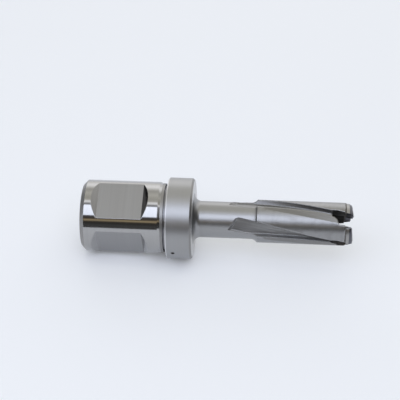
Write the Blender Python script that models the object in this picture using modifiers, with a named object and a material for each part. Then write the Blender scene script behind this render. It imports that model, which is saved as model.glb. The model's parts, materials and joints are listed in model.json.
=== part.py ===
"""Annular cutter: a hollow fluted barrel on a clamping shank, with a carbide tip on each tooth.

The cutter stands on its shank end, with its axis on +Z. The two clamping flats face -X and -Y.
The body is one turned and milled piece of steel, and each carbide tip is a piece of its own.
Lengths are in metres and angles in radians.
"""

import math

import bmesh
import bpy
from mathutils import Vector

MM = 0.001
DEGREE = math.radians(1)

# Shank
SHANK_DIAMETER = 19.05 * MM
SHANK_LENGTH = 21.8 * MM
SHANK_END_CHAMFER = 1.1 * MM
SHANK_FRONT_TAPER = 0.7 * MM
SHANK_FRONT_LAND = 0.7 * MM
SHANK_FRONT_LAND_DEPTH = 0.35 * MM
FLAT_DEPTH = 1.6 * MM
FLAT_LENGTH = 11.8 * MM
FLAT_TO_SHANK_END = 4.4 * MM
FLAT_RAMP_ANGLE = 45 * DEGREE

# Relief groove and collar
GROOVE_WIDTH = 0.75 * MM
GROOVE_DEPTH = 1.1 * MM
COLLAR_DIAMETER = 21.6 * MM
COLLAR_WIDTH = 6.85 * MM
COLLAR_BACK_CHAMFER = 0.35 * MM
COLLAR_FRONT_CHAMFER = 0.5 * MM
DIMPLE_DIAMETER = 1.05 * MM
DIMPLE_DEPTH = 0.45 * MM
DIMPLE_TO_COLLAR_BACK = 2.0 * MM
DIMPLE_ANGLE = 268.7 * DEGREE

# Barrel, and the neck that runs from the collar up to it
BARREL_DIAMETER = 11.35 * MM
BARREL_LENGTH = 23.0 * MM
NECK_LENGTH = 16.9 * MM
NECK_FILLET = 2.0 * MM
NECK_DEPTH = 0.845 * MM
STEP_FILLET = 2.0 * MM

# Bores
PILOT_BORE_DIAMETER = 6.35 * MM
PILOT_BORE_CHAMFER = 0.4 * MM
SLUG_BORE_DIAMETER = 7.2 * MM
SLUG_BORE_DEPTH = 24.0 * MM

# Flutes, each followed by the relief behind the next tooth
TOOTH_COUNT = 4
TOOTH_ANGLE_AT_SEAT = 89.0 * DEGREE
HELIX_LEAD = 145.0 * MM
FLUTE_FLOOR_DIAMETER = 8.5 * MM
FLUTE_WIDE_ANGLE = 50.0 * DEGREE
FLUTE_NARROW_ANGLE = 13.0 * DEGREE
FLUTE_NARROWING = 1.75
FLUTE_RUNOUT = 5.6 * MM
FLUTE_RUNOUT_SLANT = 2.2 * MM
FLUTE_END_RAMP = 0.8 * MM
FLUTE_END_ROUND = 1.2 * MM
FLUTE_CORNER = 0.35 * MM
RELIEF_DEPTH = 0.3 * MM
RELIEF_OVERRUN = 0.3
HEEL_WIDE_ANGLE = 53.0 * DEGREE
HEEL_NARROW_ANGLE = 34.0 * DEGREE

# Gullets, which open each flute through the wall at the cutting end
GULLET_DEPTH = 3.4 * MM
GULLET_BACK_DEPTH = 1.8 * MM
GULLET_BACK_ANGLE = 13.0 * DEGREE
GULLET_ANGLE = 36.0 * DEGREE
GULLET_SETBACK = 1.2 * DEGREE
GULLET_CORNER_ANGLE = 5.0 * DEGREE
GULLET_CORNER_HEIGHT = 0.6 * MM

# Carbide tips
TIP_DIAMETER = 11.9 * MM
TIP_BORE_DIAMETER = 6.7 * MM
TIP_HEIGHT = 1.9 * MM
TIP_ANGLE = 51.0 * DEGREE
TIP_MARGIN_HEIGHT = 0.8 * MM
TIP_BEVEL = 0.35 * MM
TIP_PEAK_RISE = 0.25 * MM
TIP_RELIEF_ANGLE = 4 * DEGREE
TIP_SIDE_RELIEF = 0.45 * MM
BRAZE_GAP = 0.3 * MM

# How far cutters reach past what they cut, and the fineness of round surfaces
CUTTER_REACH = 1.5 * MM
CUTTER_CLEARANCE = 0.15 * MM
TURNED_STEPS = 96
FLUTE_RING_PITCH = 1.3 * MM
ARC_STEPS = 6
SMOOTH_ANGLE = 25 * DEGREE

# Heights and radii worked out from the sizes above
SHANK_RADIUS = SHANK_DIAMETER / 2
COLLAR_RADIUS = COLLAR_DIAMETER / 2
BARREL_RADIUS = BARREL_DIAMETER / 2
NECK_RADIUS = BARREL_RADIUS - NECK_DEPTH
PILOT_RADIUS = PILOT_BORE_DIAMETER / 2
SLUG_RADIUS = SLUG_BORE_DIAMETER / 2
COLLAR_BACK_Z = SHANK_LENGTH + GROOVE_WIDTH
COLLAR_FRONT_Z = COLLAR_BACK_Z + COLLAR_WIDTH
BARREL_Z = COLLAR_FRONT_Z + NECK_LENGTH
STEP_Z = BARREL_Z - math.sqrt(NECK_DEPTH * (2 * STEP_FILLET - NECK_DEPTH))
SEAT_Z = BARREL_Z + BARREL_LENGTH
OUTSIDE_RADIUS = max(BARREL_DIAMETER, TIP_DIAMETER) / 2 + CUTTER_REACH


def clear_scene():
    """Remove every object of the open scene."""
    for obj in list(bpy.data.objects):
        bpy.data.objects.remove(obj, do_unlink=True)


def new_collection(name):
    """Return a new collection in the scene."""
    collection = bpy.data.collections.new(name)
    bpy.context.scene.collection.children.link(collection)
    return collection


def new_material(name, colour, roughness, metallic):
    """Return a plain Principled material."""
    material = bpy.data.materials.new(name)
    material.use_nodes = True
    shader = material.node_tree.nodes["Principled BSDF"]
    shader.inputs["Base Color"].default_value = (*colour, 1.0)
    shader.inputs["Roughness"].default_value = roughness
    shader.inputs["Metallic"].default_value = metallic
    material.diffuse_color = (*colour, 1.0)
    return material


def new_object(name, mesh, collection):
    """Return a new object that holds the mesh."""
    obj = bpy.data.objects.new(name, mesh)
    collection.objects.link(obj)
    return obj


def mark_as_cutter(obj):
    """Keep a cutter out of renders and draw it as wire."""
    obj.hide_render = True
    obj.display_type = "WIRE"


def mix(start, end, share):
    """Return the value that lies the given share of the way from start to end."""
    return start + (end - start) * share


def polar(radius, angle, z):
    """Return the point at this radius and angle around the cutter's axis."""
    return Vector((radius * math.cos(angle), radius * math.sin(angle), z))


def leading_angle(tooth, z):
    """Return where the leading edge of a tooth lies at height z. The helix is right-handed."""
    turn = tooth / TOOTH_COUNT + (z - SEAT_Z) / HELIX_LEAD
    return TOOTH_ANGLE_AT_SEAT + 2 * math.pi * turn


def turned_mesh(name, profile):
    """Return a mesh whose edges join the profile's (radius, z) points in a closed loop."""
    mesh = bpy.data.meshes.new(name)
    edges = [(index, (index + 1) % len(profile)) for index in range(len(profile))]
    mesh.from_pydata([(radius, 0, z) for radius, z in profile], edges, [])
    return mesh


def add_screw(obj):
    """Turn the object's profile round the Z axis."""
    screw = obj.modifiers.new("Turned", "SCREW")
    screw.steps = TURNED_STEPS
    screw.render_steps = TURNED_STEPS
    screw.use_merge_vertices = True
    screw.merge_threshold = 0.00001
    screw.use_smooth_shade = True


def add_cut(obj, cutter):
    """Cut the cutter's shape out of the object."""
    cut = obj.modifiers.new(f"Cut {cutter.name}", "BOOLEAN")
    cut.operation = "DIFFERENCE"
    cut.solver = "EXACT"
    cut.object = cutter


def apply_modifiers(obj):
    """Replace the object's mesh by what its modifiers make of it."""
    graph = bpy.context.evaluated_depsgraph_get()
    made = bpy.data.meshes.new_from_object(obj.evaluated_get(graph))
    obj.modifiers.clear()
    obj.data = made


def shade(obj):
    """Shade the object smooth, with its real edges left sharp."""
    obj.data.shade_smooth()
    obj.data.set_sharp_from_angle(angle=SMOOTH_ANGLE)


def prism_mesh(name, outline, half_depth):
    """Return a solid mesh: an (x, z) outline drawn out to both sides along Y."""
    mesh = bpy.data.meshes.new(name)
    made = bmesh.new()
    corners = [made.verts.new((x, -half_depth, z)) for x, z in outline]
    face = made.faces.new(corners)
    drawn = bmesh.ops.extrude_face_region(made, geom=[face])
    moved = [item for item in drawn["geom"] if isinstance(item, bmesh.types.BMVert)]
    bmesh.ops.translate(made, verts=moved, vec=(0, 2 * half_depth, 0))
    bmesh.ops.recalc_face_normals(made, faces=made.faces)
    made.to_mesh(mesh)
    made.free()
    return mesh


def loft_mesh(name, rings):
    """Return a solid mesh that joins a row of rings, each with the same number of points."""
    mesh = bpy.data.meshes.new(name)
    made = bmesh.new()
    rows = [[made.verts.new(point) for point in ring] for ring in rings]
    count = len(rows[0])
    for row, after in zip(rows, rows[1:]):
        for index in range(count):
            beside = (index + 1) % count
            made.faces.new((row[index], row[beside], after[beside], after[index]))
    made.faces.new(rows[0][::-1])
    made.faces.new(rows[-1])
    bmesh.ops.triangulate(made, faces=made.faces)
    bmesh.ops.recalc_face_normals(made, faces=made.faces)
    made.to_mesh(mesh)
    made.free()
    return mesh


def arc(centre, radius, start, end, steps=ARC_STEPS):
    """Return the (radius, z) points of an arc in the profile's plane."""
    angles = [mix(start, end, step / steps) for step in range(steps + 1)]
    return [(centre[0] + radius * math.cos(a), centre[1] + radius * math.sin(a)) for a in angles]


def body_profile():
    """Return the body's turned section: down its outside, then up through its bores."""
    neck_fillet_centre = (NECK_RADIUS + NECK_FILLET, COLLAR_FRONT_Z + NECK_FILLET)
    step_centre = (NECK_RADIUS + STEP_FILLET, STEP_Z)
    step_turn = math.acos(1 - NECK_DEPTH / STEP_FILLET)
    groove_radius = SHANK_RADIUS - GROOVE_DEPTH
    land_radius = SHANK_RADIUS - SHANK_FRONT_LAND_DEPTH
    land_back_z = SHANK_LENGTH - SHANK_FRONT_LAND
    slug_bore_floor_z = SEAT_Z - SLUG_BORE_DEPTH
    outside = [
        (BARREL_RADIUS, SEAT_Z),
        *arc(step_centre, STEP_FILLET, math.pi - step_turn, math.pi),
        *arc(neck_fillet_centre, NECK_FILLET, math.pi, 1.5 * math.pi),
        (COLLAR_RADIUS - COLLAR_FRONT_CHAMFER, COLLAR_FRONT_Z),
        (COLLAR_RADIUS, COLLAR_FRONT_Z - COLLAR_FRONT_CHAMFER),
        (COLLAR_RADIUS, COLLAR_BACK_Z + COLLAR_BACK_CHAMFER),
        (COLLAR_RADIUS - COLLAR_BACK_CHAMFER, COLLAR_BACK_Z),
        (groove_radius, COLLAR_BACK_Z),
        (groove_radius, SHANK_LENGTH),
        (land_radius, SHANK_LENGTH),
        (land_radius, land_back_z),
        (SHANK_RADIUS, land_back_z - SHANK_FRONT_TAPER),
        (SHANK_RADIUS, SHANK_END_CHAMFER),
        (SHANK_RADIUS - SHANK_END_CHAMFER, 0),
    ]
    inside = [
        (PILOT_RADIUS + PILOT_BORE_CHAMFER, 0),
        (PILOT_RADIUS, PILOT_BORE_CHAMFER),
        (PILOT_RADIUS, slug_bore_floor_z - (SLUG_RADIUS - PILOT_RADIUS)),
        (SLUG_RADIUS, slug_bore_floor_z),
        (SLUG_RADIUS, SEAT_Z),
    ]
    return outside + inside


def make_flat_cutter(name, turn, cutters):
    """Return the cutter of one clamping flat, which faces -X before its turn round Z."""
    flat_x = -(SHANK_RADIUS - FLAT_DEPTH)
    reach_x = -(SHANK_RADIUS + CUTTER_REACH)
    ramp = (flat_x - reach_x) / math.tan(FLAT_RAMP_ANGLE)
    top_z = FLAT_TO_SHANK_END + FLAT_LENGTH
    outline = [
        (flat_x, FLAT_TO_SHANK_END),
        (flat_x, top_z),
        (reach_x, top_z + ramp),
        (reach_x, FLAT_TO_SHANK_END - ramp),
    ]
    cutter = new_object(name, prism_mesh(name, outline, SHANK_RADIUS + CUTTER_REACH), cutters)
    cutter.rotation_euler = (0, 0, turn)
    mark_as_cutter(cutter)
    return cutter


def relief_overrun(ridge, back, heel):
    """Return where the relief's flat, drawn on past the heel line, leaves the barrel."""
    ridge_x = ridge * math.cos(back)
    ridge_y = ridge * math.sin(back)
    heel_x = BARREL_RADIUS * math.cos(heel)
    heel_y = BARREL_RADIUS * math.sin(heel)
    end_x = mix(ridge_x, heel_x, 1 + RELIEF_OVERRUN)
    end_y = mix(ridge_y, heel_y, 1 + RELIEF_OVERRUN)
    return math.hypot(end_x, end_y), math.atan2(end_y, end_x)


def flute_section(z):
    """Return a flute's section at height z, as (radius, angle ahead of the leading edge)."""
    along = min(max((z - BARREL_Z) / BARREL_LENGTH, 0), 1)
    back = mix(FLUTE_WIDE_ANGLE, FLUTE_NARROW_ANGLE, 1 - (1 - along) ** FLUTE_NARROWING)
    heel = mix(HEEL_WIDE_ANGLE, HEEL_NARROW_ANGLE, along)
    ridge = BARREL_RADIUS - RELIEF_DEPTH * along**2
    floor = FLUTE_FLOOR_DIAMETER / 2
    corner = FLUTE_CORNER / floor
    corner_middle = 1 - math.cos(math.pi / 4)
    overrun_radius, overrun_angle = relief_overrun(ridge, back, heel)
    return [
        (OUTSIDE_RADIUS, 0),
        (floor + FLUTE_CORNER, 0),
        (floor + FLUTE_CORNER * corner_middle, corner * corner_middle),
        (floor, corner),
        (floor, back / 2),
        (floor, back - corner),
        (floor + FLUTE_CORNER * corner_middle, back - corner * corner_middle),
        (floor + FLUTE_CORNER, back),
        (ridge, back),
        (overrun_radius, overrun_angle),
        (OUTSIDE_RADIUS, overrun_angle),
    ]


def flute_ring(tooth, z, least_radius=0, inset=0):
    """Return the points of a flute's section, set back where the section is farther ahead.

    The inset moves the leading side in, and the other points less.
    """
    ring = []
    for radius, ahead in flute_section(z):
        ahead += inset * max(1 - ahead / FLUTE_WIDE_ANGLE, 0)
        point_z = z - FLUTE_RUNOUT_SLANT * ahead / FLUTE_WIDE_ANGLE
        ring.append(polar(max(radius, least_radius), leading_angle(tooth, point_z) + ahead, point_z))
    return ring


def flute_runout(tooth, start_z):
    """Return the rings where a flute sinks into the neck, with one corner rounded."""
    rings = []
    for step in range(ARC_STEPS):
        along = FLUTE_END_ROUND * step / ARC_STEPS
        sunk = min(along / FLUTE_END_RAMP, 1)
        least_radius = mix(NECK_RADIUS + CUTTER_CLEARANCE, FLUTE_FLOOR_DIAMETER / 2, sunk)
        to_go = 1 - step / ARC_STEPS
        inset = FLUTE_END_ROUND / NECK_RADIUS * (1 - math.sqrt(1 - to_go**2))
        rings.append(flute_ring(tooth, start_z + along, least_radius, inset))
    return rings


def make_flute_cutter(tooth, cutters):
    """Return the cutter of the flute ahead of a tooth. It runs out of the neck at its start."""
    start_z = BARREL_Z - FLUTE_RUNOUT
    full_z = start_z + FLUTE_END_ROUND
    end_z = SEAT_Z + FLUTE_RUNOUT_SLANT + CUTTER_REACH
    steps = math.ceil((end_z - full_z) / FLUTE_RING_PITCH)
    rings = flute_runout(tooth, start_z)
    rings += [flute_ring(tooth, mix(full_z, end_z, step / steps)) for step in range(steps + 1)]
    name = f"flute_{tooth + 1}"
    cutter = new_object(name, loft_mesh(name, rings), cutters)
    mark_as_cutter(cutter)
    return cutter


def gullet_outline():
    """Return a gullet's outline, as (angle ahead of the leading edge, z)."""
    floor_z = SEAT_Z - GULLET_DEPTH
    back_z = SEAT_Z - GULLET_BACK_DEPTH
    top_z = SEAT_Z + CUTTER_REACH
    back_end = GULLET_ANGLE - GULLET_CORNER_ANGLE
    turns = [math.pi / 2 * step / ARC_STEPS for step in range(ARC_STEPS + 1)]
    outline = [(-GULLET_SETBACK, top_z), (-GULLET_SETBACK, floor_z)]
    for turn in turns:
        ahead = back_end - GULLET_BACK_ANGLE * math.cos(turn)
        outline.append((ahead, mix(floor_z, back_z, math.sin(turn))))
    for turn in turns[1:]:
        ahead = back_end + GULLET_CORNER_ANGLE * math.sin(turn)
        outline.append((ahead, back_z + GULLET_CORNER_HEIGHT * (1 - math.cos(turn))))
    outline.append((GULLET_ANGLE, top_z))
    return outline


def make_gullet_cutter(tooth, cutters):
    """Return the cutter that opens the flute ahead of a tooth through the barrel's wall."""
    rings = []
    for radius in (SLUG_RADIUS - CUTTER_REACH, OUTSIDE_RADIUS):
        outline = gullet_outline()
        rings.append([polar(radius, leading_angle(tooth, z) + ahead, z) for ahead, z in outline])
    name = f"gullet_{tooth + 1}"
    cutter = new_object(name, loft_mesh(name, rings), cutters)
    mark_as_cutter(cutter)
    return cutter


def make_dimple_cutter(cutters):
    """Return the cone that leaves the punch mark on the collar."""
    mesh = bpy.data.meshes.new("collar_dimple")
    made = bmesh.new()
    bmesh.ops.create_cone(
        made,
        cap_ends=True,
        segments=16,
        radius1=0,
        radius2=DIMPLE_DIAMETER,
        depth=2 * DIMPLE_DEPTH,
    )
    made.to_mesh(mesh)
    made.free()
    cutter = new_object("collar_dimple", mesh, cutters)
    cutter.location = polar(COLLAR_RADIUS, DIMPLE_ANGLE, COLLAR_BACK_Z + DIMPLE_TO_COLLAR_BACK)
    outward = polar(1, DIMPLE_ANGLE, 0)
    cutter.rotation_euler = outward.to_track_quat("Z", "Y").to_euler()
    mark_as_cutter(cutter)
    return cutter


def make_body(parts, cutters):
    """Make the cutter's one-piece steel body."""
    body = new_object("cutter_body", turned_mesh("cutter_body", body_profile()), parts)
    add_screw(body)
    add_cut(body, make_flat_cutter("flat_a", 0, cutters))
    add_cut(body, make_flat_cutter("flat_b", math.pi / 2, cutters))
    add_cut(body, make_dimple_cutter(cutters))
    for tooth in range(TOOTH_COUNT):
        add_cut(body, make_flute_cutter(tooth, cutters))
        add_cut(body, make_gullet_cutter(tooth, cutters))
    bpy.context.view_layer.update()
    apply_modifiers(body)
    shade(body)
    body.data.materials.clear()
    body.data.materials.append(new_material("tool_steel", (0.56, 0.55, 0.53), 0.3, 1.0))
    return body


def tip_section(behind):
    """Return a tip's (radius, z) section at this angle behind its cutting edge."""
    share = behind / TIP_ANGLE
    outer = TIP_DIAMETER / 2 - TIP_SIDE_RELIEF * share
    inner = TIP_BORE_DIAMETER / 2
    bottom_z = SEAT_Z + BRAZE_GAP
    drop = math.tan(TIP_RELIEF_ANGLE) * behind * BARREL_RADIUS
    top_z = bottom_z + TIP_HEIGHT - drop
    peak = (outer + inner) / 2
    return [
        (inner, bottom_z),
        (outer, bottom_z),
        (outer, bottom_z + TIP_MARGIN_HEIGHT),
        (outer - TIP_BEVEL, top_z - TIP_PEAK_RISE),
        (peak, top_z),
        (inner, top_z - TIP_PEAK_RISE),
    ]


def make_tip(tooth, material, parts):
    """Make the carbide tip that is brazed on the end of a tooth."""
    rings = []
    for step in range(ARC_STEPS + 1):
        behind = TIP_ANGLE * step / ARC_STEPS
        section = tip_section(behind)
        rings.append([polar(radius, leading_angle(tooth, z) - behind, z) for radius, z in section])
    name = f"carbide_tip_{tooth + 1}"
    tip = new_object(name, loft_mesh(name, rings), parts)
    shade(tip)
    tip.data.materials.append(material)
    return tip


def main():
    """Build the annular cutter."""
    clear_scene()
    parts = new_collection("annular_cutter")
    cutters = new_collection("cutters")
    cutters.hide_render = True
    make_body(parts, cutters)
    carbide = new_material("carbide", (0.22, 0.23, 0.25), 0.25, 1.0)
    for tooth in range(TOOTH_COUNT):
        make_tip(tooth, carbide, parts)
    bpy.context.view_layer.update()


main()
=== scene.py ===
"""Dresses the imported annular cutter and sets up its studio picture.

The cutter stands on its shank end with its axis on +Z. The camera is turned on its side, so the
picture shows the cutter lying on a pale sheet, which stands upright behind and under it here.
Lengths are in metres and angles in radians, unless a name says otherwise.
"""

import json
import logging
import math
from dataclasses import dataclass, field
from enum import Enum

import bmesh
import bpy
import numpy as np
from mathutils import Matrix, Vector

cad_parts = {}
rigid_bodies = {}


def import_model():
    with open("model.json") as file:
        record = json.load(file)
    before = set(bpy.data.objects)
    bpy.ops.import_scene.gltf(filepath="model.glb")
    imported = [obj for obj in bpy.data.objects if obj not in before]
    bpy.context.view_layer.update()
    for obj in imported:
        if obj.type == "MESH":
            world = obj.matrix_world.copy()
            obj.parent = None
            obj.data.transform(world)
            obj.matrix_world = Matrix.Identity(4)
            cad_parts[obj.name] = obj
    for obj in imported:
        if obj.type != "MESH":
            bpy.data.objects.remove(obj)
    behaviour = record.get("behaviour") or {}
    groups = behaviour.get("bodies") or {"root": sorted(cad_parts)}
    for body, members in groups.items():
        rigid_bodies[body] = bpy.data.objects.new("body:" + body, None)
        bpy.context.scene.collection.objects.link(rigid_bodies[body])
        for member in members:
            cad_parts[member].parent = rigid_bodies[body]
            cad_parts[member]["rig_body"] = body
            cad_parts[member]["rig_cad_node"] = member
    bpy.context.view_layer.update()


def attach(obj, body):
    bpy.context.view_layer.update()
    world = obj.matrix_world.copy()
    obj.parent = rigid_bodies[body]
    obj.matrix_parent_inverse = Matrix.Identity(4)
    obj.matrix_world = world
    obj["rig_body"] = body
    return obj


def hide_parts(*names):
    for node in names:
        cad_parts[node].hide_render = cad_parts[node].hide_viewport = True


LOG = logging.getLogger("annular_cutter")
MM = 0.001
DEGREE = math.radians(1)
FULL_TURN = 2 * math.pi
Colour = tuple[float, float, float]
Point = tuple[float, float]
Stops = list[tuple[float, Colour]]
Socket = bpy.types.NodeSocket

# How far the flutes turn for each metre of height.
FLUTE_TWIST = FULL_TURN / (145.0 * MM)
# The azimuth that the studio is laid out from, in degrees, 0 toward -Y and 90 toward +X.
CAMERA_SIDE_DEGREES = 299.7
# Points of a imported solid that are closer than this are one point.
MERGE_DISTANCE = 0.001 * MM
# A length that nothing is divided by less than.
TINY = 1e-9
# How far past its ends an arc of the outline still counts, and the distance beyond that.
ARC_SLACK = 0.01 * MM
FAR_AWAY = 1.0
# Where the colours of a Mix node go in and come out, among its sockets of all types.
MIX_INPUTS = (0, 6, 7)
MIX_OUTPUT = 2
# The noise values that marks and stains run over, and the colour of the stains.
MARK_RANGE = (0.3, 0.7)
STAIN_RANGE = (0.52, 0.72)
STAIN_COLOUR = (0.11, 0.10, 0.09)
# How alike the rounded and the plain normal are from unworn to worn, which also sets how much
# painted highlight, or painted shade for a negative share, an edge gets, and how much glossier
# the metal is where it is worn.
EDGE_WEAR_AND_LIGHT_RANGE = (0.998, 0.96)
WORN_GLOSS = 0.6


class Region(Enum):
    """The finishes that the steel body carries, each on its own faces."""

    GROUND = "ground_shank"
    FLAT = "milled_flat"
    RAMP = "flat_ramp"
    GROOVE = "relief_groove"
    COLLAR = "satin_collar"
    EDGE = "rounded_collar_edge"
    LAND = "turned_land"
    NECK = "turned_neck"
    BARREL = "ground_barrel"
    RELIEF = "tooth_relief"
    FLUTE = "milled_flute"
    GULLET = "gullet_wall"
    BORE = "bore_painted_shade"


# Nodes


class NodeSheet:
    """Adds nodes to the node tree of a material or a world, and joins them up."""

    def __init__(self, tree: bpy.types.NodeTree) -> None:
        """Keep the tree and empty it."""
        self.tree = tree
        tree.nodes.clear()

    def add(self, kind: str, **settings: object) -> bpy.types.Node:
        """Add a node.

        Args:
            kind: The node's type name.
            **settings: Properties of the node, by name.

        Returns:
            The new node.
        """
        node = self.tree.nodes.new(kind)
        for name, value in settings.items():
            setattr(node, name, value)
        return node

    def feed(self, socket: Socket, value: object) -> None:
        """Link a socket to an output, or give it a plain value.

        Args:
            socket: The input to fill.
            value: Another node's output, or a plain value.
        """
        if isinstance(value, Socket):
            self.tree.links.new(value, socket)
        else:
            socket.default_value = value

    def operate(self, kind: str, operation: str, values: tuple[object, ...]) -> bpy.types.Node:
        """Add a node that works out something from up to three values.

        Args:
            kind: The node's type name.
            operation: What the node works out.
            values: Outputs or plain values, in the order of the node's inputs.

        Returns:
            The new node.
        """
        node = self.add(kind, operation=operation)
        for socket, value in zip(node.inputs, values):
            self.feed(socket, value)
        return node

    def maths(self, operation: str, *values: object) -> Socket:
        """Return the result of a Math node on up to three values."""
        return self.operate("ShaderNodeMath", operation, values).outputs[0]

    def dot(self, first: Socket, second: Socket) -> Socket:
        """Return the dot product of two vectors."""
        node = self.operate("ShaderNodeVectorMath", "DOT_PRODUCT", (first, second))
        return node.outputs["Value"]

    def place(self) -> Socket:
        """Return the object coordinates."""
        return self.add("ShaderNodeTexCoord").outputs["Object"]

    def stretched(self, vector: Socket, scale: tuple[float, float, float]) -> Socket:
        """Scale a vector along each axis.

        Args:
            vector: The vector.
            scale: The three scales.

        Returns:
            The scaled vector.
        """
        node = self.add("ShaderNodeMapping")
        self.feed(node.inputs["Vector"], vector)
        node.inputs["Scale"].default_value = scale
        return node.outputs[0]

    def untwisted(self, vector: Socket, twist: float) -> Socket:
        """Turn a vector back about Z, so that a helix becomes straight.

        Args:
            vector: The vector.
            twist: The helix's angle for each metre of height.

        Returns:
            The turned vector.
        """
        parts = self.add("ShaderNodeSeparateXYZ")
        self.feed(parts.inputs[0], vector)
        node = self.add("ShaderNodeVectorRotate", rotation_type="Z_AXIS")
        self.feed(node.inputs["Vector"], vector)
        self.feed(node.inputs["Angle"], self.maths("MULTIPLY", parts.outputs[2], -twist))
        return node.outputs[0]

    def noise(self, vector: Socket, scale: float, detail: float = 2.0) -> Socket:
        """Add a noise value between 0 and 1.

        Args:
            vector: Where the noise is read.
            scale: How many bumps it has in a unit of the vector.
            detail: How many finer layers it has.

        Returns:
            The noise value.
        """
        node = self.add("ShaderNodeTexNoise")
        self.feed(node.inputs["Vector"], vector)
        node.inputs["Scale"].default_value = scale
        node.inputs["Detail"].default_value = detail
        return node.outputs["Fac"]

    def spread(self, value: Socket, start: Point, end: Point) -> Socket:
        """Map a value from one range onto another, held at its ends.

        Args:
            value: The value.
            start: The range that it runs over.
            end: The range that it is mapped onto.

        Returns:
            The mapped value.
        """
        node = self.add("ShaderNodeMapRange")
        self.feed(node.inputs["Value"], value)
        limits = ("From Min", "From Max", "To Min", "To Max")
        for name, limit in zip(limits, (*start, *end)):
            node.inputs[name].default_value = limit
        return node.outputs[0]

    def blend(self, share: object, first: object, second: object, how: str = "MIX") -> Socket:
        """Mix two colours.

        Args:
            share: How far the result lies toward the second colour.
            first: The first colour.
            second: The second colour.
            how: The way the second colour goes onto the first.

        Returns:
            The mixed colour.
        """
        node = self.add("ShaderNodeMix", data_type="RGBA", blend_type=how)
        for socket, value in zip(MIX_INPUTS, (share, first, second)):
            self.feed(node.inputs[socket], value)
        return node.outputs[MIX_OUTPUT]

    def mottled(self, noise: Socket, colour: Colour, spread: float) -> Socket:
        """Return a colour that a noise value makes darker and lighter by the spread."""
        return self.blend(noise, rgba(colour, 1 - spread), rgba(colour, 1 + spread))

    def bands(self, value: Socket, stops: Stops) -> Socket:
        """Colour a value between 0 and 1 by a ramp.

        Args:
            value: The value.
            stops: Positions on the ramp, each with its colour.

        Returns:
            The colour.
        """
        node = self.add("ShaderNodeValToRGB")
        self.feed(node.inputs["Fac"], value)
        elements = node.color_ramp.elements
        while len(elements) < len(stops):
            elements.new(1.0)
        for element, (position, colour) in zip(elements, stops):
            element.position = position
            element.color = rgba(colour)
        return node.outputs["Color"]

    def shader(self, kind: str, colour: object) -> bpy.types.Node:
        """Add a shader with its colour.

        Args:
            kind: The shader's type name.
            colour: Another node's output, or a plain colour.

        Returns:
            The shader's node.
        """
        node = self.add(kind)
        self.feed(node.inputs["Color"], colour)
        return node

    def mixed(self, share: Socket, first: bpy.types.Node, second: bpy.types.Node) -> bpy.types.Node:
        """Mix two shaders.

        Args:
            share: How far the result lies toward the second shader.
            first: The first shader.
            second: The second shader.

        Returns:
            The mixed shader's node.
        """
        node = self.add("ShaderNodeMixShader")
        for socket, value in zip(node.inputs, (share, first.outputs[0], second.outputs[0])):
            self.feed(socket, value)
        return node

    def output(self, shader: bpy.types.Node, kind: str = "ShaderNodeOutputMaterial") -> None:
        """Join a shader to a new output node of the given kind."""
        self.feed(self.add(kind).inputs["Surface"], shader.outputs[0])


def new_material(name: str) -> tuple[bpy.types.Material, NodeSheet]:
    """Make an empty material.

    Args:
        name: The material's name.

    Returns:
        The material, and the sheet that its nodes go on.
    """
    made = bpy.data.materials.new(name)
    made.use_nodes = True
    return made, NodeSheet(made.node_tree)


def rgba(colour: Colour, share: float = 1.0) -> tuple[float, float, float, float]:
    """Return the colour with each channel scaled by the share, and full alpha."""
    return (*(channel * share for channel in colour), 1.0)


# Finishes


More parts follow.
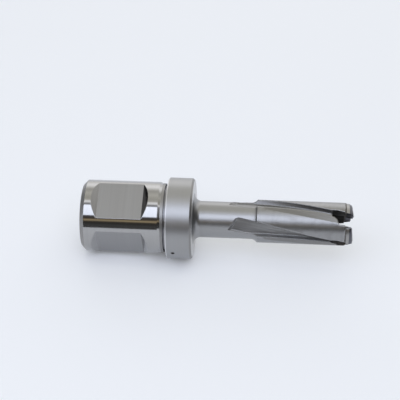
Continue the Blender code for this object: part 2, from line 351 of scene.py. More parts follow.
@dataclass(frozen=True)
class MetalFinish:
    """A machined metal surface with marks along one direction and a fine grain.

    Where the share for the edges isn't 0, the edges are glossier, as from wear, and their colour is
    lighter by that share as a painted highlight, or darker as painted shade where the share is
    negative.
    """

    name: str
    colour: Colour
    roughness: float
    roughness_spread: float = 0.03
    anisotropy: float = 0.0
    tone_spread: float = 0.06
    line_scale: tuple[float, float, float] = (40.0, 40.0, 6000.0)
    line_detail: float = 3.0
    broadening: float = 9.0
    broad_detail: float = 1.0
    line_depth: float = 0.0004 * MM
    twist: float = 0.0
    grain_scale: float = 0.0
    grain_depth: float = 0.0
    edge_radius: float = 0.05 * MM
    edge_samples: int = 6
    stain: float = 0.0
    stain_scale: float = 300.0
    stain_detail: float = 3.0
    rim_painted_light: float = 0.0

    def material(self) -> bpy.types.Material:
        """Make the finish as a material.

        Returns:
            The new material.
        """
        made, sheet = new_material(self.name)
        place = sheet.place()
        marks = self._marks(sheet, place)
        colour = self._tone(sheet, place, marks)
        edge = self._edge(sheet)
        if self.rim_painted_light == 0:
            middle, either_way = self.roughness, self.roughness_spread
            rough = sheet.spread(marks, MARK_RANGE, (middle - either_way, middle + either_way))
        else:
            # Along the edges the colour is made lighter as a painted highlight, or darker as
            # painted shade for a negative share, and the metal is made glossier as from wear.
            wear_and_painted_light = self._edge_wear_and_painted_light(sheet, edge)
            colour = sheet.blend(wear_and_painted_light, colour, rgba(self.colour, 1 + self.rim_painted_light))
            share = sheet.maths("MULTIPLY_ADD", wear_and_painted_light, -WORN_GLOSS, 1.0)
            rough = sheet.maths("MULTIPLY", share, self.roughness)
        shader = sheet.add("ShaderNodeBsdfPrincipled")
        sheet.feed(shader.inputs["Base Color"], colour)
        sheet.feed(shader.inputs["Roughness"], rough)
        shader.inputs["Metallic"].default_value = 1.0
        shader.inputs["Anisotropic"].default_value = self.anisotropy
        if self.anisotropy > 0:
            tangent = sheet.add("ShaderNodeTangent", direction_type="RADIAL", axis="Z")
            sheet.feed(shader.inputs["Tangent"], tangent.outputs[0])
        sheet.feed(shader.inputs["Normal"], self._normal(sheet, edge, place, marks))
        sheet.output(shader)
        return made

    def _marks(self, sheet: NodeSheet, place: Socket) -> Socket:
        """Add the machining marks, fine lines over broad ones.

        Args:
            sheet: The sheet of the material.
            place: The object coordinates.

        Returns:
            The marks as a value between 0 and 1.
        """
        straight = sheet.untwisted(place, self.twist) if self.twist else place
        lines = sheet.noise(sheet.stretched(straight, self.line_scale), 1.0, self.line_detail)
        broad_scale = tuple(scale / self.broadening for scale in self.line_scale)
        broad = sheet.noise(sheet.stretched(straight, broad_scale), 1.0, self.broad_detail)
        return sheet.maths("MULTIPLY_ADD", broad, 0.5, sheet.maths("MULTIPLY", lines, 0.5))

    def _tone(self, sheet: NodeSheet, place: Socket, marks: Socket) -> Socket:
        """Colour the metal by its marks and stains.

        Args:
            sheet: The sheet of the material.
            place: The object coordinates.
            marks: The machining marks.

        Returns:
            The colour.
        """
        tone = sheet.spread(marks, MARK_RANGE, (0.0, 1.0))
        colour = sheet.mottled(tone, self.colour, self.tone_spread)
        if self.stain == 0:
            return colour
        blots = sheet.noise(place, self.stain_scale, self.stain_detail)
        dirt = sheet.spread(blots, STAIN_RANGE, (0.0, self.stain))
        return sheet.blend(dirt, colour, rgba(STAIN_COLOUR))

    def _edge(self, sheet: NodeSheet) -> Socket:
        """Round the edges of the surface in its shading.

        Args:
            sheet: The sheet of the material.

        Returns:
            The normal with rounded edges.
        """
        edge = sheet.add("ShaderNodeBevel", samples=self.edge_samples)
        edge.inputs["Radius"].default_value = self.edge_radius
        return edge.outputs[0]

    def _edge_wear_and_painted_light(self, sheet: NodeSheet, edge: Socket) -> Socket:
        """Return a share between 0 and 1, most along the edges, that sets their wear and their
        painted light.
        """
        straight = sheet.add("ShaderNodeNewGeometry").outputs["Normal"]
        return sheet.spread(sheet.dot(edge, straight), EDGE_WEAR_AND_LIGHT_RANGE, (0.0, 1.0))

    def _normal(self, sheet: NodeSheet, edge: Socket, place: Socket, marks: Socket) -> Socket:
        """Add the machining lines and the grain to the normal.

        Args:
            sheet: The sheet of the material.
            edge: The normal with rounded edges.
            place: The object coordinates.
            marks: The machining marks.

        Returns:
            The normal with all its layers.
        """
        layers = [(marks, self.line_depth)]
        if self.grain_scale > 0:
            layers.append((sheet.noise(place, self.grain_scale), self.grain_depth))
        normal = edge
        for height, depth in layers:
            bump = sheet.add("ShaderNodeBump")
            bump.inputs["Strength"].default_value = 1.0
            bump.inputs["Distance"].default_value = depth
            sheet.feed(bump.inputs["Height"], height)
            sheet.feed(bump.inputs["Normal"], normal)
            normal = bump.outputs[0]
        return normal


BODY_FINISHES: dict[Region, MetalFinish] = {
    Region.GROUND: MetalFinish(
        Region.GROUND.value, (0.397, 0.393, 0.390), 0.075, 0.02, anisotropy=0.4,
        tone_spread=0.04, edge_radius=0.25 * MM,
    ),
    Region.FLAT: MetalFinish(
        Region.FLAT.value, (0.34, 0.338, 0.34), 0.42, 0.04, line_depth=0.0015 * MM,
        grain_scale=9000.0, grain_depth=0.001 * MM,
    ),
    Region.RAMP: MetalFinish(Region.RAMP.value, (0.37, 0.365, 0.36), 0.14),
    # The groove is darker than the metal round it: painted shade in the groove.
    Region.GROOVE: MetalFinish(Region.GROOVE.value, (0.24, 0.24, 0.25), 0.35, 0.05),
    # The collar's back chamfer and front face are much paler than the collar: a painted highlight.
    Region.EDGE: MetalFinish(Region.EDGE.value, (0.66, 0.66, 0.665), 0.42),
    Region.LAND: MetalFinish(Region.LAND.value, (0.30, 0.295, 0.29), 0.40),
    Region.COLLAR: MetalFinish(
        Region.COLLAR.value, (0.373, 0.373, 0.376), 0.39, tone_spread=0.03,
        grain_scale=12000.0, grain_depth=0.002 * MM,
    ),
    Region.NECK: MetalFinish(
        Region.NECK.value, (0.347, 0.347, 0.349), 0.345, 0.02, tone_spread=0.015,
        grain_scale=12000.0, grain_depth=0.001 * MM, line_depth=0.00003 * MM,
    ),
    # The barrel's and the relief's edge shares paint highlights along their edges, and the flute's
    # negative share paints shade along its edges.
    Region.BARREL: MetalFinish(
        Region.BARREL.value, (0.32, 0.32, 0.323), 0.32, anisotropy=0.3, tone_spread=0.07,
        line_depth=0.0006 * MM, stain=0.3, stain_scale=420.0, edge_radius=0.45 * MM, rim_painted_light=0.2,
    ),
    Region.RELIEF: MetalFinish(
        Region.RELIEF.value, (0.245, 0.241, 0.234), 0.42, tone_spread=0.12,
        line_scale=(4200.0, 4200.0, 90.0), broadening=3.0, line_depth=0.003 * MM,
        twist=FLUTE_TWIST, edge_radius=0.5 * MM, rim_painted_light=0.25,
    ),
    Region.FLUTE: MetalFinish(
        Region.FLUTE.value, (0.275, 0.273, 0.273), 0.46, tone_spread=0.40,
        line_scale=(4200.0, 4200.0, 90.0), broadening=3.0, line_depth=0.006 * MM,
        twist=FLUTE_TWIST, stain=0.25, edge_radius=0.5 * MM, rim_painted_light=-0.25,
    ),
    # The gullet's dark base is painted shade in the notch before each tip; the blots on it are
    # stains.
    Region.GULLET: MetalFinish(Region.GULLET.value, (0.15, 0.145, 0.14), 0.42, 0.05, stain=0.4),
    # The bore, and the faces up to the collar's front that aren't turned, are near black: painted
    # shade.
    Region.BORE: MetalFinish(Region.BORE.value, (0.05, 0.047, 0.045), 0.5, 0.05),
}
CARBIDE_ROUND = MetalFinish(
    "carbide_round", (0.34, 0.335, 0.325), 0.34, 0.05, line_scale=(3500.0, 3500.0, 3500.0),
    line_depth=0.0008 * MM, edge_radius=0.04 * MM,
)
CARBIDE_FACE = MetalFinish(
    "carbide_face", (0.13, 0.13, 0.145), 0.36, 0.05, line_scale=(3500.0, 3500.0, 3500.0),
    line_depth=0.0008 * MM, edge_radius=0.04 * MM,
)
BRAZE = MetalFinish(
    "braze_layer", (0.16, 0.15, 0.14), 0.45, 0.08, tone_spread=0.2,
    line_scale=(2500.0, 2500.0, 2500.0), line_depth=0.003 * MM, stain=0.6, stain_scale=900.0,
)


# Pieces in general


def select_only(obj: bpy.types.Object) -> None:
    """Select one object alone and make it the active one.

    Args:
        obj: The object.
    """
    bpy.ops.object.select_all(action="DESELECT")
    obj.select_set(True)
    bpy.context.view_layer.objects.active = obj


def merged_copy(node: str, name: str) -> bpy.types.Object:
    """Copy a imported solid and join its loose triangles.

    Args:
        node: The node to copy.
        name: The name of the new piece.

    Returns:
        The copy, selected alone and with no materials.
    """
    obj = bpy.data.objects[node].copy()
    obj.data = obj.data.copy()
    obj.name = obj.data.name = name
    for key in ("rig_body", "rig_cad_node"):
        del obj[key]
    obj.parent = None
    obj.data.materials.clear()
    bpy.context.scene.collection.objects.link(obj)
    select_only(obj)
    bpy.ops.object.mode_set(mode="EDIT")
    bpy.ops.mesh.customdata_custom_splitnormals_clear()
    bpy.ops.mesh.select_all(action="SELECT")
    bpy.ops.mesh.remove_doubles(threshold=MERGE_DISTANCE)
    bpy.ops.object.mode_set(mode="OBJECT")
    return obj


def dress(obj: bpy.types.Object, materials: list[bpy.types.Material]) -> None:
    """Give a piece its materials and its place on the root body.

    Args:
        obj: The piece.
        materials: Its materials, in the order that its faces count them.
    """
    obj.data.materials.clear()
    for material in materials:
        obj.data.materials.append(material)
    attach(obj, "root")


# Body


@dataclass(frozen=True)
class TurnedStretch:
    """One stretch of the turned outline, from the cutting end down to the shank's end.

    Start and end are (radius, height). A rounded stretch also has the centre of its arc, which
    lies on the open side. With a lean under 1 the stretch shines as if its edge were worn, and
    with one over 1 as if it were hollower.
    """

    start: Point
    end: Point
    region: Region
    centre: Point | None = None
    lean: float = 1.0

    def outward(self, radius: np.ndarray, height: np.ndarray) -> np.ndarray:
        """Work out the normals at points of the stretch.

        Args:
            radius: The radius of each point.
            height: The height of each point.

        Returns:
            The radial parts of the normals in one row, and their axial parts in the other.
        """
        if self.centre is None:
            along = np.array(self.end) - np.array(self.start)
            normal = np.stack([np.full_like(radius, -along[1]), np.full_like(radius, along[0])])
        else:
            normal = np.stack([self.centre[0] - radius, self.centre[1] - height])
        normal[1] *= self.lean
        return normal / np.linalg.norm(normal, axis=0)

    def distance(self, radius: np.ndarray, height: np.ndarray) -> np.ndarray:
        """Work out how far points lie from the stretch in the outline's plane.

        Args:
            radius: The radius of each point.
            height: The height of each point.

        Returns:
            The distances. A point past the ends of an arc counts as far away.
        """
        if self.centre is not None:
            to_centre = np.hypot(radius - self.centre[0], height - self.centre[1])
            off = np.abs(to_centre - math.dist(self.start, self.centre))
            low, high = sorted((self.start[1], self.end[1]))
            beyond = (height < low - ARC_SLACK) | (height > high + ARC_SLACK)
            return np.where(beyond, FAR_AWAY, off)
        first, second = np.array(self.start), np.array(self.end)
        along = second - first
        points = np.stack([radius, height], axis=-1) - first
        share = np.clip(points @ along / (along @ along), 0, 1)
        return np.linalg.norm(points - share[..., None] * along, axis=-1)


@dataclass
class CutterBody:
    """The one-piece steel body: shank, collar, neck and fluted barrel.

    The fields from fit on say how a face is told to belong to a surface.
    """

    node: str = "cutter_body"
    shank_radius: float = 9.525 * MM
    shank_length: float = 21.8 * MM
    shank_end_chamfer: float = 1.1 * MM
    land_radius: float = 9.175 * MM
    land_start: float = 21.1 * MM
    taper_start: float = 20.4 * MM
    flat_distance: float = 7.925 * MM
    groove_radius: float = 8.425 * MM
    collar_back: float = 22.55 * MM
    collar_front: float = 29.4 * MM
    collar_radius: float = 10.8 * MM
    collar_back_chamfer: float = 0.35 * MM
    collar_front_chamfer: float = 0.5 * MM
    neck_radius: float = 4.83 * MM
    fillet: float = 2.0 * MM
    barrel_start: float = 46.3 * MM
    barrel_radius: float = 5.675 * MM
    barrel_end: float = 69.3 * MM
    gullet_start: float = 65.85 * MM
    bore_radius: float = 3.6 * MM
    step_lean: float = 0.6
    fillet_lean: float = 1.8
    worn_lean: float = 0.3
    fit: float = 0.012 * MM
    true_slack: float = 8 * DEGREE
    leaning_slack: float = 40 * DEGREE
    flat_share: float = 0.99
    bore_share: float = 1.12
    relief_share: float = 0.92
    inward_below: float = 0.5
    outward_above: float = 0.85
    ramp_above: float = 0.3
    crease: float = 25 * DEGREE

    def build(self) -> bpy.types.Object:
        """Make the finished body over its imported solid.

        Returns:
            The new piece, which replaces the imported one.
        """
        obj = merged_copy(self.node, "steel_body")
        bpy.ops.object.shade_smooth()
        regions, stretch_of = self._sort_faces(obj.data)
        for region in Region:
            obj.data.materials.append(BODY_FINISHES[region].material())
        order = list(Region)
        obj.data.polygons.foreach_set("material_index", [order.index(r) for r in regions])
        self._mark_creases(obj.data)
        self._set_normals(obj.data, stretch_of)
        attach(obj, "root")
        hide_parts(self.node)
        return obj

    def _outline(self) -> list[TurnedStretch]:
        """Lay out the turned outline.

        Returns:
            The stretches, from the barrel's end down to the bore's edge.
        """
        fillet_end = self.collar_front + self.fillet
        fillet_radius = self.neck_radius + self.fillet
        front_edge = self.collar_radius - self.collar_front_chamfer
        front_chamfer_end = self.collar_front - self.collar_front_chamfer
        back_edge = self.collar_radius - self.collar_back_chamfer
        back_chamfer_end = self.collar_back + self.collar_back_chamfer
        shank_end = self.shank_radius - self.shank_end_chamfer
        step_height = math.sqrt(self.fillet**2 - (fillet_radius - self.barrel_radius) ** 2)
        step_start = self.barrel_start - step_height
        step_centre = (fillet_radius, step_start)
        fillet_centre = (fillet_radius, fillet_end)
        corners = [
            ((self.barrel_radius, self.barrel_end), Region.BARREL, None, 1.0),
            ((self.barrel_radius, self.barrel_start), Region.NECK, step_centre, self.step_lean),
            ((self.neck_radius, step_start), Region.NECK, None, 1.0),
            ((self.neck_radius, fillet_end), Region.NECK, fillet_centre, self.fillet_lean),
            ((fillet_radius, self.collar_front), Region.EDGE, None, 1.0),
            ((front_edge, self.collar_front), Region.LAND, None, 1.0),
            ((self.collar_radius, front_chamfer_end), Region.COLLAR, None, 1.0),
            ((self.collar_radius, back_chamfer_end), Region.EDGE, None, self.worn_lean),
            ((back_edge, self.collar_back), Region.GROOVE, None, 1.0),
            ((self.groove_radius, self.collar_back), Region.GROOVE, None, 1.0),
            ((self.groove_radius, self.shank_length), Region.GROOVE, None, 1.0),
            ((self.land_radius, self.shank_length), Region.LAND, None, 1.0),
            ((self.land_radius, self.land_start), Region.GROUND, None, 1.0),
            ((self.shank_radius, self.taper_start), Region.GROUND, None, 1.0),
            ((self.shank_radius, self.shank_end_chamfer), Region.LAND, None, 1.0),
            ((shank_end, 0.0), Region.LAND, None, 1.0),
            ((self.bore_radius, 0.0), Region.GROUND, None, 1.0),
        ]
        return [
            TurnedStretch(start, end, region, centre, lean)
            for (start, region, centre, lean), (end, *_) in zip(corners, corners[1:])
        ]

    def _sort_faces(self, mesh: bpy.types.Mesh) -> tuple[list[Region], np.ndarray]:
        """Tell which finish each face has.

        Args:
            mesh: The joined triangles of the body.

        Returns:
            The region of each face, and the turned stretch it belongs to or -1.
        """
        points = np.empty(len(mesh.vertices) * 3)
        mesh.vertices.foreach_get("co", points)
        points = points.reshape(-1, 3)
        corners = np.array([tuple(face.vertices) for face in mesh.polygons])
        normals = np.array([tuple(face.normal) for face in mesh.polygons])
        radius = np.hypot(points[:, 0], points[:, 1])[corners]
        height = points[:, 2][corners]
        centres = points[corners].mean(axis=1)
        centre_radius = np.hypot(centres[:, 0], centres[:, 1])
        radial = (normals[:, :2] * centres[:, :2]).sum(axis=1) / np.maximum(centre_radius, TINY)
        axial = normals[:, 2]
        top = height.max(axis=1)
        stretch_of = np.full(len(corners), -1)
        outline = self._outline()
        for index, stretch in enumerate(outline):
            near = stretch.distance(radius, height).max(axis=1) < self.fit
            out_r, out_z = stretch.outward(centre_radius, centres[:, 2])
            slack = self.true_slack if stretch.lean == 1 else self.leaning_slack
            stretch_of[near & (radial * out_r + axial * out_z > math.cos(slack))] = index
        flat_side = -self.flat_distance * self.flat_share
        on_flat = (top < self.taper_start) & (centres[:, :2].min(axis=1) < flat_side)
        bore_reach = self.bore_radius * self.bore_share
        relief_reach = self.barrel_radius * self.relief_share
        rules = [
            (radius.max(axis=1) < bore_reach) & (radial < self.inward_below),
            on_flat & (abs(axial) > self.ramp_above),
            on_flat,
            top < self.shank_length,
            top < self.collar_front,
            (radial > self.outward_above) & (radius.min(axis=1) > relief_reach),
            height.min(axis=1) > self.gullet_start,
        ]
        kinds = [
            Region.BORE, Region.RAMP, Region.FLAT, Region.GROUND,
            Region.BORE, Region.RELIEF, Region.GULLET, Region.FLUTE,
        ]
        first_rule = np.argmax([*rules, np.full(len(corners), True)], axis=0)
        regions = [
            outline[stretch].region if stretch >= 0 else kinds[rule]
            for stretch, rule in zip(stretch_of, first_rule)
        ]
        return regions, stretch_of

    def _mark_creases(self, mesh: bpy.types.Mesh) -> None:
        """Mark edges sharp where the finish changes or the surface folds.

        Args:
            mesh: The body's mesh, with its finishes set.
        """
        work = bmesh.new()
        work.from_mesh(mesh)
        for edge in work.edges:
            faces = edge.link_faces
            joined = len(faces) == 2 and faces[0].material_index == faces[1].material_index
            edge.smooth = joined and edge.calc_face_angle(math.pi) < self.crease
        work.to_mesh(mesh)
        work.free()

    def _set_normals(self, mesh: bpy.types.Mesh, stretch_of: np.ndarray) -> None:
        """Give the turned faces the true normals of their round surfaces.

        Args:
            mesh: The body's mesh, with its creases marked.
            stretch_of: The turned stretch that each face belongs to, or -1.
        """
        outline = self._outline()
        normals = np.array([tuple(corner.vector) for corner in mesh.corner_normals])
        for face in mesh.polygons:
            if stretch_of[face.index] < 0:
                continue
            stretch = outline[stretch_of[face.index]]
            for loop in face.loop_indices:
                x, y, z = mesh.vertices[mesh.loops[loop].vertex_index].co
                radius = math.hypot(x, y)
                out_r, out_z = stretch.outward(np.array([radius]), np.array([z]))
                normals[loop] = (out_r[0] * x / radius, out_r[0] * y / radius, out_z[0])
        mesh.normals_split_custom_set(normals.tolist())


# Tips


@dataclass
class CarbideTips:
    """The four brazed tips, with the braze layer under each."""

    count: int = 4
    tooth_angle: float = 89 * DEGREE
    seat_height: float = 69.3 * MM
    braze_thickness: float = 0.3 * MM
    tip_sweep: float = 51 * DEGREE
    inner_radius: float = 3.62 * MM
    outer_radius: float = 5.64 * MM
    edge: float = 0.05 * MM
    edge_segments: int = 2
    edge_above: float = 30 * DEGREE
    flat_below: float = 2 * DEGREE
    smooth_below: float = 20 * DEGREE
    round_share: float = 0.95
    seam_steps: int = 18

    def build(self) -> list[bpy.types.Object]:
        """Make the tips and their braze layers.

        Returns:
            The new pieces.
        """
        carbide = [CARBIDE_ROUND.material(), CARBIDE_FACE.material()]
        braze = [BRAZE.material()]
        tip, seam = self._tip(0, carbide), self._seam(braze)
        made = [tip, seam]
        for tooth in range(1, self.count):
            made += [self._tip(tooth, carbide), self._seam_copy(seam, tooth, braze)]
        return made

    def _tip(self, tooth: int, carbide: list[bpy.types.Material]) -> bpy.types.Object:
        """Make a tip with its edges broken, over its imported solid.

        Args:
            tooth: The tooth that the tip is on, counted from 0.
            carbide: The materials of its round side and of its ground faces.

        Returns:
            The new piece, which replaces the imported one.
        """
        node = f"carbide_tip_{tooth + 1}"
        obj = merged_copy(node, f"ground_tip_{tooth + 1}")
        bpy.ops.object.mode_set(mode="EDIT")
        bpy.ops.mesh.select_all(action="SELECT")
        bpy.ops.mesh.dissolve_limited(angle_limit=self.flat_below)
        bpy.ops.object.mode_set(mode="OBJECT")
        bevel = obj.modifiers.new("edges", "BEVEL")
        bevel.width = self.edge
        bevel.segments = self.edge_segments
        bevel.limit_method = "ANGLE"
        bevel.angle_limit = self.edge_above
        bpy.ops.object.modifier_apply(modifier=bevel.name)
        bpy.ops.object.shade_smooth_by_angle(angle=self.smooth_below)
        dress(obj, carbide)
        for face in obj.data.polygons:
            outward = Vector((face.center.x, face.center.y, 0)).normalized()
            face.material_index = 0 if face.normal.dot(outward) > self.round_share else 1
        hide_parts(node)
        return obj

    def _seam(self, braze: list[bpy.types.Material]) -> bpy.types.Object:
        """Make the thin braze layer between the first tooth and its tip.

        Args:
            braze: The material of the layer.

        Returns:
            The new piece.
        """
        bpy.ops.mesh.primitive_plane_add(size=1)
        obj = bpy.context.object
        obj.name = obj.data.name = "braze_seam_1"
        bpy.ops.object.mode_set(mode="EDIT")
        width = self.outer_radius - self.inner_radius
        bpy.ops.transform.resize(value=(width, self.braze_thickness, 1))
        bpy.ops.transform.rotate(value=90 * DEGREE, orient_axis="X", center_override=(0, 0, 0))
        middle = ((self.inner_radius + self.outer_radius) / 2, 0, 0)
        bpy.ops.transform.translate(value=middle)
        bpy.ops.mesh.spin(
            steps=self.seam_steps, angle=self.tip_sweep, center=(0, 0, 0), axis=(0, 0, 1)
        )
        bpy.ops.mesh.select_all(action="SELECT")
        bpy.ops.mesh.normals_make_consistent(inside=False)
        bpy.ops.object.mode_set(mode="OBJECT")
        points = [vertex.co for vertex in obj.data.vertices]
        lead = max(math.atan2(point.y, point.x) for point in points)
        obj.rotation_euler = (0, 0, self.tooth_angle - lead)
        obj.location = (0, 0, self.seat_height + self.braze_thickness / 2)
        bpy.ops.object.transform_apply(location=True, rotation=True, scale=True)
        bpy.ops.object.shade_smooth_by_angle(angle=self.smooth_below)
        dress(obj, braze)
        return obj

    def _seam_copy(
        self, seam: bpy.types.Object, tooth: int, braze: list[bpy.types.Material]
    ) -> bpy.types.Object:
        """Copy the first braze layer to another tooth.

        Args:
            seam: The first tooth's braze layer.
            tooth: The other tooth, counted from 0.
            braze: The material of the layer.

        Returns:
            The new piece, with its own mesh.
        """
        obj = seam.copy()
        obj.data = seam.data.copy()
        obj.name = obj.data.name = f"braze_seam_{tooth + 1}"
        obj.data.transform(Matrix.Rotation(tooth * FULL_TURN / self.count, 4, "Z"))
        bpy.context.scene.collection.objects.link(obj)
        dress(obj, braze)
        return obj


# Studio


def around(azimuth_degrees: float, lift: float = 0.0) -> Vector:
    """Point from the cutter to an azimuth.

    Args:
        azimuth_degrees: The azimuth in degrees, 0 toward -Y and 90 toward +X.
        lift: The angle that the direction is raised by.

    Returns:
        The unit direction.
    """
    angle = azimuth_degrees * DEGREE
    level = Vector((math.sin(angle), -math.cos(angle), 0)) * math.cos(lift)
    return level + Vector((0, 0, math.sin(lift)))


@dataclass
class PictureCamera:
    """The camera, turned on its side so that the cutter's axis runs across the picture."""

    target: tuple[float, float, float] = (-0.0032, 0.00397, 0.0309)
    azimuth_degrees: float = 300.57
    elevation: float = 3.91 * DEGREE
    distance: float = 0.333
    roll: float = 2.04 * DEGREE
    lens: float = 112.71
    sensor: float = 36.0
    clip_start: float = 0.01
    clip_end: float = 20.0

    def build(self) -> bpy.types.Object:
        """Make the camera and use it for the scene.

        Returns:
            The camera.
        """
        data = bpy.data.cameras.new("picture_camera")
        data.sensor_width = self.sensor
        data.lens = self.lens
        data.clip_start = self.clip_start
        data.clip_end = self.clip_end
        camera = bpy.data.objects.new("picture_camera", data)
        bpy.context.scene.collection.objects.link(camera)
        back = around(self.azimuth_degrees, self.elevation)
        axis = Vector((0, 0, 1))
        right = (axis - back * axis.dot(back)).normalized()
        upward = back.cross(right)
        facing = Matrix((right, upward, back)).transposed().to_4x4()
        place = Matrix.Translation(Vector(self.target) + back * self.distance)
        camera.matrix_world = place @ facing @ Matrix.Rotation(self.roll, 4, "Z")
        bpy.context.scene.camera = camera
        return camera


@dataclass
class PaleSheet:
    """The pale sheet that the cutter lies on. It is open from behind, for the other views.

    Camera, glossy and transmission rays see part of it as a plain backdrop. That part fades near
    the cutter by ambient occlusion, which paints the contact shadow there darker.
    """

    up_azimuth_degrees: float = 249.7
    collar_reach: float = 10.8 * MM
    collar_height: float = 23.0 * MM
    shank_reach: float = 9.525 * MM
    shank_height: float = 1.1 * MM
    gap: float = 0.02 * MM
    size: float = 4.0
    colour: Colour = (0.90, 0.92, 0.975)
    mottle: float = 0.015
    mottle_scale: float = 6.0
    backdrop_colour: Colour = (0.94, 0.97, 1.0)
    backdrop_share: float = 0.38
    contact_reach: float = 5.0 * MM
    contact_power: float = 0.5
    contact_samples: int = 8

    def build(self) -> bpy.types.Object:
        """Make the sheet, tangent to the collar and the shank's end.

        Returns:
            The sheet.
        """
        upward = around(self.up_azimuth_degrees)
        rise = self.collar_height - self.shank_height
        lean = (self.collar_reach - self.shank_reach) / rise
        normal = (upward + Vector((0, 0, lean))).normalized()
        touch = -upward * self.collar_reach + Vector((0, 0, self.collar_height))
        bpy.ops.mesh.primitive_plane_add(size=self.size)
        obj = bpy.context.object
        obj.name = obj.data.name = "pale_sheet"
        turn = normal.to_track_quat("Z", "Y").to_matrix().to_4x4()
        obj.data.transform(Matrix.Translation(touch - normal * self.gap) @ turn)
        obj.data.materials.append(self._material())
        return obj

    def _material(self) -> bpy.types.Material:
        """Make the sheet's matt material, clear from behind.

        Returns:
            The new material.
        """
        made, sheet = new_material("pale_sheet")
        tone = sheet.noise(sheet.place(), self.mottle_scale)
        colour = sheet.mottled(tone, self.colour, self.mottle)
        matt = sheet.shader("ShaderNodeBsdfDiffuse", colour)
        backdrop = sheet.shader("ShaderNodeEmission", rgba(self.backdrop_colour))
        front = sheet.mixed(self._backdrop(sheet), matt, backdrop)
        back = sheet.add("ShaderNodeNewGeometry").outputs["Backfacing"]
        sheet.output(sheet.mixed(back, front, sheet.add("ShaderNodeBsdfTransparent")))
        return made

    def _backdrop(self, sheet: NodeSheet) -> Socket:
        """Work out how much of the sheet is plain backdrop.

        Args:
            sheet: The sheet of the material's nodes.

        Returns:
            The share of the backdrop.
        """
        rays = sheet.add("ShaderNodeLightPath").outputs
        seen = sheet.maths("MAXIMUM", rays["Is Camera Ray"], rays["Is Glossy Ray"])
        seen = sheet.maths("MAXIMUM", seen, rays["Is Transmission Ray"])
        # Ambient occlusion thins the backdrop near the cutter, a painted contact shadow.
        nearby = sheet.add("ShaderNodeAmbientOcclusion", samples=self.contact_samples)
        nearby.inputs["Distance"].default_value = self.contact_reach
        clear = sheet.maths("POWER", nearby.outputs["AO"], self.contact_power)
        share = sheet.maths("MULTIPLY", clear, self.backdrop_share)
        return sheet.maths("MULTIPLY", seen, share)


@dataclass
class ReflectionDome:
    """The dome of flags and boards round the cutter, which its bright surfaces mirror.

    A place on the dome is told by how many degrees it lies above the camera, turned about the
    cutter's axis, because that is what the round surfaces mirror as bands along the cutter. The
    poles say how the dome dims toward its ends, from -1 at the shank's to 1 at the tips'.
    """

    radius: float = 0.9
    segments: int = 96
    rings: int = 48
    strength: float = 1.14
    height: float = 0.036
    bands: Stops = field(
        default_factory=lambda: [
            (-180.0, (0.45, 0.45, 0.46)),
            (-60.0, (0.09, 0.09, 0.09)),
            (-30.0, (0.08, 0.08, 0.08)),
            (-25.0, (0.05, 0.048, 0.045)),
            (-19.5, (0.08, 0.07, 0.06)),
            (-16.5, (0.50, 0.40, 0.25)),
            (-14.0, (0.50, 0.40, 0.25)),
            (-11.5, (0.13, 0.105, 0.08)),
            (-6.0, (0.07, 0.062, 0.058)),
            (-2.0, (0.17, 0.17, 0.18)),
            (34.0, (0.42, 0.43, 0.46)),
            (39.0, (0.42, 0.43, 0.45)),
            (41.5, (1.30, 1.32, 1.36)),
            (47.0, (1.30, 1.31, 1.33)),
            (50.0, (0.72, 0.71, 0.66)),
            (58.0, (0.62, 0.61, 0.56)),
            (67.0, (0.70, 0.69, 0.63)),
            (75.0, (0.80, 0.79, 0.73)),
            (84.0, (0.69, 0.68, 0.63)),
            (91.0, (0.62, 0.61, 0.57)),
            (97.0, (0.78, 0.77, 0.73)),
            (104.0, (1.10, 1.10, 1.09)),
            (112.0, (1.42, 1.42, 1.42)),
            (121.0, (1.34, 1.34, 1.35)),
            (130.0, (1.06, 1.05, 1.04)),
            (180.0, (0.45, 0.45, 0.46)),
        ]
    )
    poles: Stops = field(
        default_factory=lambda: [
            (-1.0, (0.04, 0.04, 0.04)),
            (-0.93, (0.08, 0.08, 0.08)),
            (-0.8, (0.45, 0.45, 0.45)),
            (-0.55, (0.9, 0.9, 0.9)),
            (0.0, (1.0, 1.0, 1.0)),
            (0.8, (0.8, 0.8, 0.8)),
            (0.92, (0.10, 0.10, 0.10)),
            (1.0, (0.05, 0.05, 0.05)),
        ]
    )

    def build(self) -> bpy.types.Object:
        """Make the dome, which the camera looks through.

        Returns:
            The dome.
        """
        bpy.ops.mesh.primitive_uv_sphere_add(
            segments=self.segments, ring_count=self.rings, radius=self.radius
        )
        obj = bpy.context.object
        obj.name = obj.data.name = "reflection_dome"
        bpy.ops.object.mode_set(mode="EDIT")
        bpy.ops.mesh.select_all(action="SELECT")
        bpy.ops.mesh.normals_make_consistent(inside=True)
        bpy.ops.object.mode_set(mode="OBJECT")
        obj.data.transform(Matrix.Translation((0, 0, self.height)))
        obj.visible_camera = False
        obj.data.materials.append(self._material())
        return obj

    def _material(self) -> bpy.types.Material:
        """Make the dome's own light, in bands round the axis and dimmed at its ends.

        Returns:
            The new material.
        """
        made, sheet = new_material("reflection_dome")
        turned = sheet.add("ShaderNodeMapping")
        sheet.feed(turned.inputs["Vector"], sheet.place())
        camera_angle = (CAMERA_SIDE_DEGREES - 90) * DEGREE
        turned.inputs["Rotation"].default_value = (0, 0, -camera_angle)
        turned.inputs["Location"].default_value = (0, 0, -self.height)
        parts = sheet.add("ShaderNodeSeparateXYZ")
        sheet.feed(parts.inputs[0], turned.outputs[0])
        below = sheet.maths("ARCTAN2", parts.outputs[1], parts.outputs[0])
        share = sheet.maths("MULTIPLY_ADD", below, -1 / FULL_TURN, 0.5)
        room = sheet.bands(share, [(angle / 360 + 0.5, colour) for angle, colour in self.bands])
        along = sheet.maths("MULTIPLY_ADD", parts.outputs[2], 0.5 / self.radius, 0.5)
        ends = sheet.bands(along, [(reach / 2 + 0.5, colour) for reach, colour in self.poles])
        light = sheet.shader("ShaderNodeEmission", sheet.blend(1.0, room, ends, "MULTIPLY"))
        light.inputs["Strength"].default_value = self.strength
        sheet.output(light)
        return made


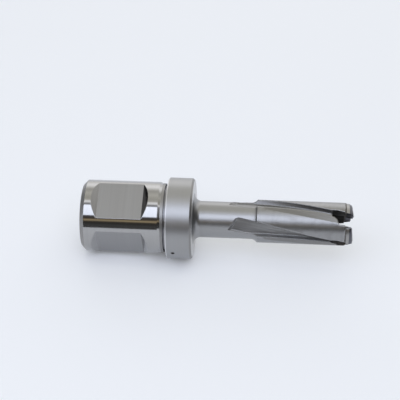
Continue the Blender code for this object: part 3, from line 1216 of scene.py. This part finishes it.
@dataclass
class BlackFlag:
    """The black card below the shank's end, which the farther ramps of the flats mirror."""

    turn_degrees: float = 103.0
    lift: float = -52 * DEGREE
    distance: float = 0.6
    size: float = 0.42
    weave_scale: float = 900.0
    dark_thread: Colour = (0.015, 0.015, 0.016)
    light_thread: Colour = (0.03, 0.03, 0.032)

    def build(self) -> bpy.types.Object:
        """Make the card, facing the cutter, which the camera looks through.

        Returns:
            The card.
        """
        bpy.ops.mesh.primitive_plane_add(size=self.size)
        obj = bpy.context.object
        obj.name = obj.data.name = "black_flag"
        outward = around(CAMERA_SIDE_DEGREES - self.turn_degrees, self.lift)
        turn = outward.to_track_quat("-Z", "Y").to_matrix().to_4x4()
        obj.data.transform(Matrix.Translation(outward * self.distance) @ turn)
        obj.visible_camera = False
        made, sheet = new_material("black_flag")
        weave = sheet.noise(sheet.place(), self.weave_scale)
        cloth = sheet.blend(weave, rgba(self.dark_thread), rgba(self.light_thread))
        sheet.output(sheet.shader("ShaderNodeBsdfDiffuse", cloth))
        obj.data.materials.append(made)
        return obj


@dataclass
class StudioLight:
    """The softbox above the camera, and the pale world that shows round the sheet."""

    middle_degrees: float = 16.0
    spread_degrees: float = 33.0
    distance: float = 0.6
    length: float = 1.2
    height: float = -0.25
    radiance: float = 2.12
    colour: Colour = (0.80, 0.86, 1.0)
    world_colour: Colour = (0.86, 0.88, 0.93)

    def build(self) -> bpy.types.Object:
        """Set the world and make the softbox.

        Returns:
            The softbox.
        """
        self._world()
        data = bpy.data.lights.new("softbox", "AREA")
        data.shape = "RECTANGLE"
        data.size = self.length
        data.size_y = 2 * self.distance * math.tan(self.spread_degrees / 2 * DEGREE)
        data.color = self.colour
        data.energy = self.radiance * math.pi * data.size * data.size_y
        lamp = bpy.data.objects.new("softbox", data)
        lamp.visible_camera = False
        bpy.context.scene.collection.objects.link(lamp)
        outward = around(CAMERA_SIDE_DEGREES - self.middle_degrees)
        along = Vector((0, 0, 1))
        across = outward.cross(along)
        facing = Matrix((along, across, outward)).transposed().to_4x4()
        place = outward * self.distance + along * self.height
        lamp.matrix_world = Matrix.Translation(place) @ facing
        return lamp

    def _world(self) -> None:
        """Make the plain pale world."""
        world = bpy.data.worlds.new("pale_world")
        bpy.context.scene.world = world
        world.use_nodes = True
        sheet = NodeSheet(world.node_tree)
        light = sheet.shader("ShaderNodeBackground", rgba(self.world_colour))
        light.inputs["Strength"].default_value = 1.0
        sheet.output(light, "ShaderNodeOutputWorld")


def report(pieces: list[bpy.types.Object]) -> None:
    """Log each piece with its number of faces."""
    for piece in pieces:
        LOG.info("%s: %d faces", piece.name, len(piece.data.polygons))


def main() -> None:
    """Build the dressed cutter and its studio, and log the number of faces of each new piece."""
    logging.basicConfig(level=logging.INFO, format="%(message)s")
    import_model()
    report([CutterBody().build()])
    report(CarbideTips().build())
    report([stage().build() for stage in (PaleSheet, ReflectionDome, BlackFlag)])
    StudioLight().build()
    PictureCamera().build()
    bpy.context.scene.view_settings.view_transform = "Standard"


if __name__ == "__main__":
    main()
